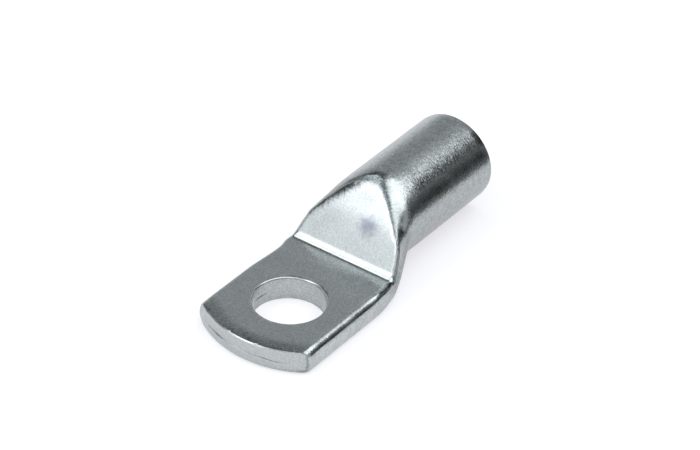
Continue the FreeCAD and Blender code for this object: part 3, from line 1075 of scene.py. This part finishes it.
@dataclass(frozen=True)
class TinPlate:
    """Electroplated matt tin on copper tube: silver-grey, satin, finely crystalline and a little cloudy.

    The drawn tube keeps its mottle and fine scratches, while the press has smoothed the palm, and
    the facet most of all. So light breaks up into a fine sparkle on the barrel and lies calm on the
    pressed faces. A span that ends in lean is one of the surface normal, from 0 to 1.
    """

    bright: str = "cdd1d1"
    dull: str = "b2b8b9"
    dull_span: tuple[float, float] = (0.35, 0.7)
    noise_span: tuple[float, float] = (0.3, 0.7)
    roughness: float = 0.2
    roughness_spread: float = 0.08
    crystal_height: float = 0.012
    crystal_cell: float = 0.2
    crystal_tilt: float = 0.034
    mottle_height: float = 0.007
    cloud_height: float = 0.014
    scratch_height: float = 0.004
    scratch_turn: float = 38.0
    scratch_stretch: float = 0.3
    pressed_relief: float = 0.045
    pressed_lean: tuple[float, float] = (-0.08, -0.30)
    palm_relief: float = 0.5
    palm_fade_x: tuple[float, float] = (11.8, 20.0)
    fold_relief: float = 0.65
    fold_lean: tuple[float, float] = (0.1, 0.35)
    line_relief: float = 0.21667
    cut_relief: float = 0.15
    cut_lean: tuple[float, float] = (0.15, 0.45)
    cut_faces_x: float = 11.0
    edge_width: float = 2.5
    edge_inset: float = 0.3
    edge_wear: float = 0.8
    edge_tone: float = 0.9
    grain_tone: float = 0.26
    grain_kept: float = 0.55
    stain: str = "898b9c"
    stain_place: tuple[float, float, float] = (15.75, -1.9, 8.4)
    stain_radius: float = 2.4
    stain_softness: float = 0.5
    stain_share: float = 0.8
    # Dark grey of the painted shade on the marked lines; the speckle span and share break it up by the
    # crystals.
    fold_painted_shade: str = "545c60"
    speckle_span: tuple[float, float] = (0.3, 0.65)
    speckle_share: tuple[float, float] = (1.25, 0.55)
    name: str = "electroplated_tin"

    def noises(self, tree: bpy.types.NodeTree,
               place: bpy.types.NodeSocket) -> dict[Pattern, bpy.types.Node]:
        """Adds the finish's patterns. The scratches run aslant along the tube.

        Args:
            tree: The material's nodes.
            place: The place on the lug.

        Returns:
            The node of each pattern, with values from 0 to 1.
        """
        turned = add_node(tree, "Mapping", {
            "Vector": place, "Rotation": (0, 0, math.radians(self.scratch_turn)),
            "Scale": (1, self.scratch_stretch, 1),
        })
        noises = {}
        for pattern in Pattern:
            grain, layers, strength = pattern.value
            noises[pattern] = add_node(tree, "TexNoise", {
                "Vector": turned if pattern is Pattern.SCRATCH else place, "Scale": per_metre(grain),
                "Detail": layers, "Roughness": strength,
            })
        return noises

    def relief_share(self, tree: bpy.types.NodeTree, place: bpy.types.NodeSocket,
                     fold: bpy.types.NodeSocket) -> bpy.types.Node:
        """How much of the tube's relief is left: all on the barrel, less on the palm, least on the facet.

        Args:
            tree: The material's nodes.
            place: The place on the lug.
            fold: How near it lies to a folded edge.

        Returns:
            The node that gives the share.
        """
        x = add_node(tree, "SeparateXYZ", {"Vector": place}).outputs["X"]
        normal = add_node(tree, "NewGeometry").outputs["Normal"]
        facing = add_node(tree, "SeparateXYZ", {"Vector": normal}).outputs
        left = add_node(tree, "MapRange", {
            "Value": x, "From Min": self.palm_fade_x[0] * MM, "From Max": self.palm_fade_x[1] * MM,
            "To Min": self.palm_relief,
        }, **SMOOTH)
        aside = add_node(tree, "Math", {0: facing["Y"]}, operation="ABSOLUTE")
        folded = add_node(tree, "MapRange", {
            "Value": aside, "From Min": self.fold_lean[0], "From Max": self.fold_lean[1],
        })
        left = add_node(tree, "Mix", {"Factor": folded, "A": left, "B": self.fold_relief})
        upright = add_node(tree, "MapRange", {
            "Value": facing["Z"], "From Min": self.cut_lean[0], "From Max": self.cut_lean[1],
            "To Min": self.cut_relief,
        })
        smoothed = add_node(tree, "Math", {0: left, 1: upright}, operation="MULTIPLY")
        on_palm = add_node(tree, "Math", {0: x, 1: self.cut_faces_x * MM}, operation="LESS_THAN")
        forward = add_node(tree, "Math", {0: facing["X"], 1: 0.0}, operation="LESS_THAN")
        cut_face = add_node(tree, "Math", {0: on_palm, 1: forward}, operation="MULTIPLY")
        left = add_node(tree, "Mix", {"Factor": cut_face, "A": left, "B": smoothed})
        pressed = add_node(tree, "MapRange", {
            "Value": facing["X"], "From Min": self.pressed_lean[0], "From Max": self.pressed_lean[1],
        }, **SMOOTH)
        left = add_node(tree, "Mix", {"Factor": pressed, "A": left, "B": self.pressed_relief})
        return add_node(tree, "Math", {0: fold, 1: self.line_relief, 2: left}, operation="MULTIPLY_ADD")

    def tip_share(self, tree: bpy.types.NodeTree, place: bpy.types.NodeSocket,
                  form: LugForm) -> bpy.types.Node:
        """How near a place lies to the cut end.

        Args:
            tree: The material's nodes.
            place: The place on the lug.
            form: The lug's form, which says where the cut end is.

        Returns:
            The node that gives 1 at the edge and 0 an edge width behind it.
        """
        centre = ((form.tip_radius - form.tip_x) * MM, 0, 0)
        flat = add_node(tree, "VectorMath", {0: place, 1: (1, 1, 0)}, operation="MULTIPLY")
        reach = add_node(tree, "VectorMath", {0: flat, 1: centre}, operation="DISTANCE")
        return add_node(tree, "MapRange", {
            "Value": reach, "From Min": (form.tip_radius - self.edge_width) * MM,
            "From Max": (form.tip_radius - self.edge_inset) * MM,
        }, **SMOOTH)

    def relief(self, tree: bpy.types.NodeTree, place: bpy.types.NodeSocket,
               noises: dict[Pattern, bpy.types.Node], left: bpy.types.Node,
               edge: bpy.types.Node) -> bpy.types.Node:
        """Lays the patterns over each other as relief, and leans each crystal a little its own way.

        Args:
            tree: The material's nodes.
            place: The place on the lug.
            noises: The patterns.
            left: How much of the relief is left.
            edge: How near the place lies to the cut end.

        Returns:
            The node that gives the surface normal.
        """
        worn = add_node(tree, "Math", {0: edge, 1: self.edge_wear, 2: left}, operation="MULTIPLY_ADD")
        under = {}
        for pattern, depth, strength in (
            (Pattern.CLOUD, self.cloud_height, left),
            (Pattern.MOTTLE, self.mottle_height, worn),
            (Pattern.CRYSTAL, self.crystal_height, worn),
            (Pattern.SCRATCH, self.scratch_height, left),
        ):
            layer = {"Height": noises[pattern], "Distance": depth * MM, "Strength": strength}
            under = {"Normal": add_node(tree, "Bump", layer | under)}
        cells = add_node(tree, "TexVoronoi", {"Vector": place, "Scale": per_metre(self.crystal_cell)})
        lean = {0: cells.outputs["Color"], 1: (0.5, 0.5, 0.5)}
        lean = add_node(tree, "VectorMath", lean, operation="SUBTRACT")
        much = add_node(tree, "Math", {0: worn, 1: self.crystal_tilt}, operation="MULTIPLY")
        lean = add_node(tree, "VectorMath", {0: lean, "Scale": much}, operation="SCALE")
        leaning = add_node(tree, "VectorMath", {0: under["Normal"], 1: lean}, operation="ADD")
        return add_node(tree, "VectorMath", {0: leaning}, operation="NORMALIZE")

    def tone(self, tree: bpy.types.NodeTree, place: bpy.types.NodeSocket,
             noises: dict[Pattern, bpy.types.Node], left: bpy.types.Node, edge: bpy.types.Node,
             fold: bpy.types.NodeSocket) -> bpy.types.Node:
        """Lays the tones over each other.

        The tin is duller here and there and grained by its crystals, and the facet has one stain.
        The folded edges, the cut end's near corner and lower edge, and the stud hole's wall get painted
        shade, a dark grey that stands in for the dark they mirror. The cut end's edge is a little darker.

        Args:
            tree: The material's nodes.
            place: The place on the lug.
            noises: The patterns.
            left: How much of the relief is left.
            edge: How near the place lies to the cut end.
            fold: How near it lies to a folded edge, which sets the painted shade.

        Returns:
            The node that gives the colour.
        """
        mottle, crystal = noises[Pattern.MOTTLE], noises[Pattern.CRYSTAL]
        dulled = add_node(tree, "MapRange", {
            "Value": mottle, "From Min": self.dull_span[0], "From Max": self.dull_span[1], "To Max": left,
        })
        grain = add_node(tree, "MapRange", {
            "Value": crystal, "From Min": self.noise_span[0], "From Max": self.noise_span[1],
            "To Min": 1 - self.grain_tone, "To Max": 1 + self.grain_tone / 2,
        })
        grained = add_node(tree, "MapRange", {"Value": left, "To Min": self.grain_kept})
        centre = tuple(part * MM for part in self.stain_place)
        away = add_node(tree, "VectorMath", {0: place, 1: centre}, operation="DISTANCE")
        radius = self.stain_radius * MM
        ragged = add_node(tree, "Math", {0: mottle, 1: radius, 2: away}, operation="MULTIPLY_ADD")
        stained = add_node(tree, "MapRange", {
            "Value": ragged, "From Min": radius * (1 - self.stain_softness),
            "From Max": radius * (1 + self.stain_softness), "To Min": self.stain_share, "To Max": 0.0,
        }, **SMOOTH)
        # Painted shade: along the folded edges, the cut end's near corner and lower edge and the stud
        # hole's wall, the colour is mixed towards a dark grey, broken up by the crystals.
        speckled = add_node(tree, "MapRange", {
            "Value": crystal, "From Min": self.speckle_span[0], "From Max": self.speckle_span[1],
            "To Min": self.speckle_share[0], "To Max": self.speckle_share[1],
        })
        folded = add_node(tree, "Math", {0: fold, 1: speckled}, operation="MULTIPLY", use_clamp=True)
        edge_tone = add_node(tree, "MapRange", {"Value": edge, "To Min": 1.0, "To Max": self.edge_tone})
        tone = srgb(self.bright)
        for share, over, blend in (
            (dulled, srgb(self.dull), "MIX"),
            (grained, grain, "MULTIPLY"),
            (stained, srgb(self.stain), "MIX"),
            (folded, srgb(self.fold_painted_shade), "MIX"),
            (1.0, edge_tone, "MULTIPLY"),
        ):
            layer = {"Factor": share, "A": tone, "B": over}
            tone = add_node(tree, "Mix", layer, data_type="RGBA", blend_type=blend)
        return tone

    def material(self, form: LugForm) -> bpy.types.Material:
        """Builds the finish.

        Args:
            form: The lug's form, which says where the cut end is.

        Returns:
            The material.
        """
        finish = bpy.data.materials.new(self.name)
        finish.use_nodes = True
        tree = finish.node_tree
        shader = tree.nodes["Principled BSDF"]
        place = add_node(tree, "TexCoord").outputs["Object"]
        fold = add_node(tree, "Attribute", attribute_name=SHADE_AND_RELIEF_MARK).outputs["Fac"]
        noises = self.noises(tree, place)
        left = self.relief_share(tree, place, fold)
        edge = self.tip_share(tree, place, form)
        rough = add_node(tree, "MapRange", {
            "Value": noises[Pattern.CLOUD], "From Min": self.noise_span[0], "From Max": self.noise_span[1],
            "To Min": self.roughness - self.roughness_spread / 2,
            "To Max": self.roughness + self.roughness_spread / 2,
        })
        feed(tree, shader.inputs["Base Color"], self.tone(tree, place, noises, left, edge, fold))
        feed(tree, shader.inputs["Metallic"], 1.0)
        feed(tree, shader.inputs["Roughness"], rough)
        feed(tree, shader.inputs["Normal"], self.relief(tree, place, noises, left, edge))
        return finish


@dataclass(frozen=True)
class Viewpoint:
    """Where the camera stands, in degrees and millimetres."""

    azimuth: float = -55.3652
    elevation: float = 35.8776
    roll: float = 2.6912
    distance: float = 450.0
    target: tuple[float, float, float] = (20.0, 0.0, 5.0)
    aside: float = -3.4376
    above: float = 0.2861
    focal_pixels: float = 3149.312
    image_width: int = 700
    sensor: float = 36.0

    def axes(self) -> tuple[Vector, Vector, Vector]:
        """Works out how the camera is turned.

        Returns:
            Its own right, up and backward directions.
        """
        turn, rise, roll = (math.radians(angle) for angle in (self.azimuth, self.elevation, self.roll))
        back = Vector((math.sin(turn) * math.cos(rise), -math.cos(turn) * math.cos(rise), math.sin(rise)))
        level = Vector((math.cos(turn), math.sin(turn), 0))
        upright = back.cross(level)
        right = level * math.cos(roll) + upright * math.sin(roll)
        return right, upright * math.cos(roll) - level * math.sin(roll), back

    def add(self) -> bpy.types.Object:
        """Adds the camera and makes it the scene's own.

        Returns:
            The camera.
        """
        right, up, back = self.axes()
        place = Vector(self.target) + right * self.aside + up * self.above + back * self.distance
        lens = bpy.data.cameras.new("camera")
        lens.sensor_width = self.sensor
        lens.lens = self.focal_pixels / self.image_width * self.sensor
        lens.clip_start = 0.01
        lens.clip_end = 20
        camera = bpy.data.objects.new("camera", lens)
        bpy.context.scene.collection.objects.link(camera)
        matrix = Matrix((right, up, back)).transposed().to_4x4()
        matrix.translation = place * MM
        camera.matrix_world = matrix
        bpy.context.scene.camera = camera
        return camera


@dataclass(frozen=True)
class Zone:
    """One soft-edged part of the room, seen from the lug, in degrees."""

    name: str
    azimuth: float
    elevation: float
    radius: float
    softness: float
    level: float

    def direction(self) -> tuple[float, float, float]:
        """Where its middle lies, from X towards Y and up."""
        turn, rise = math.radians(self.azimuth), math.radians(self.elevation)
        return (math.cos(turn) * math.cos(rise), math.sin(turn) * math.cos(rise), math.sin(rise))


@dataclass(frozen=True)
class Studio:
    """A pale floor in a light tent, with the dark gaps of the tent that metal shows as its dark bands.

    The paper of the floor glows for the camera, which makes it white. What the metal mirrors of it
    is a painted glow, dimmer and weaker towards +X, with painted shade past a pool on the near right side.
    """

    floor_size: float = 6000.0
    floor_colour: str = "bebebe"
    floor_roughness: float = 0.9
    floor_glow: float = 0.6
    glow_colour: str = "fcfaff"
    # Painted shade in what the metal mirrors of the floor: its colour and glow go dark past the pool span
    # along the pool's direction.
    pool_direction: tuple[float, float, float] = (0.67, -0.74, 0.0)
    pool_span: tuple[float, float] = (58.0, 90.0)
    pool_painted_shade: float = 0.75
    # Painted glow that the metal mirrors of the floor, from -X to +X.
    painted_mirror_glow_levels: tuple[float, float] = (0.52, 0.37)
    painted_mirror_glow_x: tuple[float, float] = (-30.0, 20.0)
    base: float = 0.51
    tint: str = "f6fbfe"
    exposure: float = 1.65
    zones: tuple[Zone, ...] = (
        Zone("overhead_tent", -64, 67, 31.4, 4.8, 0.87),
        Zone("left_window", 157, 36, 10.5, 5, 1.15),
        Zone("near_right_gap", -30, 11, 26, 7, -0.385),
        Zone("right_gap", -15, 31, 17, 10, -0.27),
        Zone("back_right_gap", 36, 36, 23, 12, -0.245),
        Zone("back_gap", 86, 40, 18, 7, -0.38),
        Zone("back_left_gap", 127, 30, 12, 6, -0.60),
        Zone("back_softbox", 85, 60, 11, 4, 0.92),
        Zone("near_dim", -72, 2, 26, 12, -0.19),
        Zone("left_softbox", 136, 49, 13, 5, 0.85),
        Zone("near_left_gap", -102, 40, 25, 10, -0.38),
        Zone("zenith", 21, 86, 18, 10, -0.3),
        Zone("left_glow", 150, 20, 15, 6, 0.095),
        Zone("ceiling_gap", 50, 52, 12, 4, -0.22),
    )

    def paper(self) -> bpy.types.Material:
        """Builds the floor's finish: matt uncoated paper, with no gloss at all. For the metal's reflections
        it has a painted glow, weaker towards +X, and painted shade past the pool on the near right side.

        Returns:
            The material.
        """
        finish = bpy.data.materials.new("matt_paper")
        finish.use_nodes = True
        tree = finish.node_tree
        shader = tree.nodes["Principled BSDF"]
        rays = add_node(tree, "LightPath").outputs
        place = add_node(tree, "TexCoord").outputs["Object"]
        seen = add_node(tree, "Math", {0: rays["Is Camera Ray"], 1: rays["Is Transmission Ray"]},
                        operation="MAXIMUM")
        # Painted shade for glossy rays: past the pool the floor's colour goes towards black and its glow
        # drops.
        away = add_node(tree, "VectorMath", {0: place, 1: self.pool_direction}, operation="DOT_PRODUCT")
        painted_shade_past_pool = add_node(tree, "MapRange", {
            "Value": away, "From Min": self.pool_span[0] * MM, "From Max": self.pool_span[1] * MM,
            "To Max": self.pool_painted_shade,
        }, **SMOOTH)
        painted_mirror_shade = add_node(tree, "Math", {0: painted_shade_past_pool, 1: rays["Is Glossy Ray"]}, operation="MULTIPLY")
        colours = {"Factor": painted_mirror_shade, "A": srgb(self.floor_colour), "B": (0, 0, 0, 1)}
        # Painted glow for glossy rays, weaker towards +X.
        level = add_node(tree, "MapRange", {
            "Value": add_node(tree, "SeparateXYZ", {"Vector": place}).outputs["X"],
            "From Min": self.painted_mirror_glow_x[0] * MM, "From Max": self.painted_mirror_glow_x[1] * MM,
            "To Min": self.painted_mirror_glow_levels[0], "To Max": self.painted_mirror_glow_levels[1],
        })
        painted_mirror_glow = add_node(tree, "Math", {0: level, 1: rays["Is Glossy Ray"]}, operation="MULTIPLY")
        glow = add_node(tree, "Math", {0: seen, 1: self.floor_glow, 2: painted_mirror_glow}, operation="MULTIPLY_ADD")
        glow = add_node(tree, "Math", {0: glow, 1: painted_mirror_shade}, operation="SUBTRACT", use_clamp=True)
        feed(tree, shader.inputs["Base Color"], add_node(tree, "Mix", colours, data_type="RGBA"))
        feed(tree, shader.inputs["Roughness"], self.floor_roughness)
        feed(tree, shader.inputs["Specular IOR Level"], 0.0)
        feed(tree, shader.inputs["Emission Color"], srgb(self.glow_colour))
        feed(tree, shader.inputs["Emission Strength"], glow)
        return finish

    def floor(self) -> bpy.types.Object:
        """Lays the floor and marks it as no part of the lug.

        Returns:
            The floor.
        """
        bpy.ops.object.select_all(action="DESELECT")
        bpy.ops.mesh.primitive_plane_add(size=self.floor_size * MM, location=(0, 0, 0))
        plane = bpy.context.object
        plane.name = "floor"
        plane.data.materials.append(self.paper())
        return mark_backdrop(plane)

    def room(self) -> None:
        """Builds the room's light from its zones."""
        world = bpy.data.worlds.new("room")
        bpy.context.scene.world = world
        world.use_nodes = True
        tree = world.node_tree
        backdrop = tree.nodes["Background"]
        direction = add_node(tree, "TexCoord").outputs["Generated"]
        light = (self.base, self.base, self.base)
        for zone in self.zones:
            facing = {0: direction, 1: zone.direction()}
            facing = add_node(tree, "VectorMath", facing, operation="DOT_PRODUCT")
            share = add_node(tree, "MapRange", {
                "Value": facing,
                "From Min": math.cos(math.radians(zone.radius + zone.softness)),
                "From Max": math.cos(math.radians(zone.radius - zone.softness)),
            }, **SMOOTH)
            levels = {0: (zone.level, zone.level, zone.level), "Scale": share}
            part = add_node(tree, "VectorMath", levels, operation="SCALE")
            light = add_node(tree, "VectorMath", {0: light, 1: part}, operation="ADD")
        light = add_node(tree, "VectorMath", {0: light, 1: (0, 0, 0)}, operation="MAXIMUM")
        light = add_node(tree, "VectorMath", {0: light, 1: srgb(self.tint)[:3]}, operation="MULTIPLY")
        feed(tree, backdrop.inputs["Color"], light)
        feed(tree, backdrop.inputs["Strength"], self.exposure)


def main() -> None:
    """Builds the camera, the lug and the studio, in that order."""
    logging.basicConfig(level=logging.INFO, format="%(name)s: %(message)s")
    bpy.context.scene.view_settings.view_transform = "Standard"
    Viewpoint().add()
    low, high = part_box("cable_lug")
    form = LugForm(
        tube_diameter=high[2] / MM,
        mouth_x=high[0] / MM,
        tip_x=-low[0] / MM,
        hole_radius=mount("stud_hole")["dims"]["r_mm"],
        bore_radius=mount("cable_bore")["dims"]["r_mm"],
        palm_thickness=mount("palm_top")["pos_m"][2] / MM,
    )
    body = LugBody(form).build()
    body.data.materials.clear()
    body.data.materials.append(TinPlate().material(form))
    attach(body, "root")
    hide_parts("cable_lug")
    LOG.info("%s: %d faces", body.name, len(body.data.polygons))
    studio = Studio()
    studio.floor()
    studio.room()


if __name__ == "__main__":
    main()
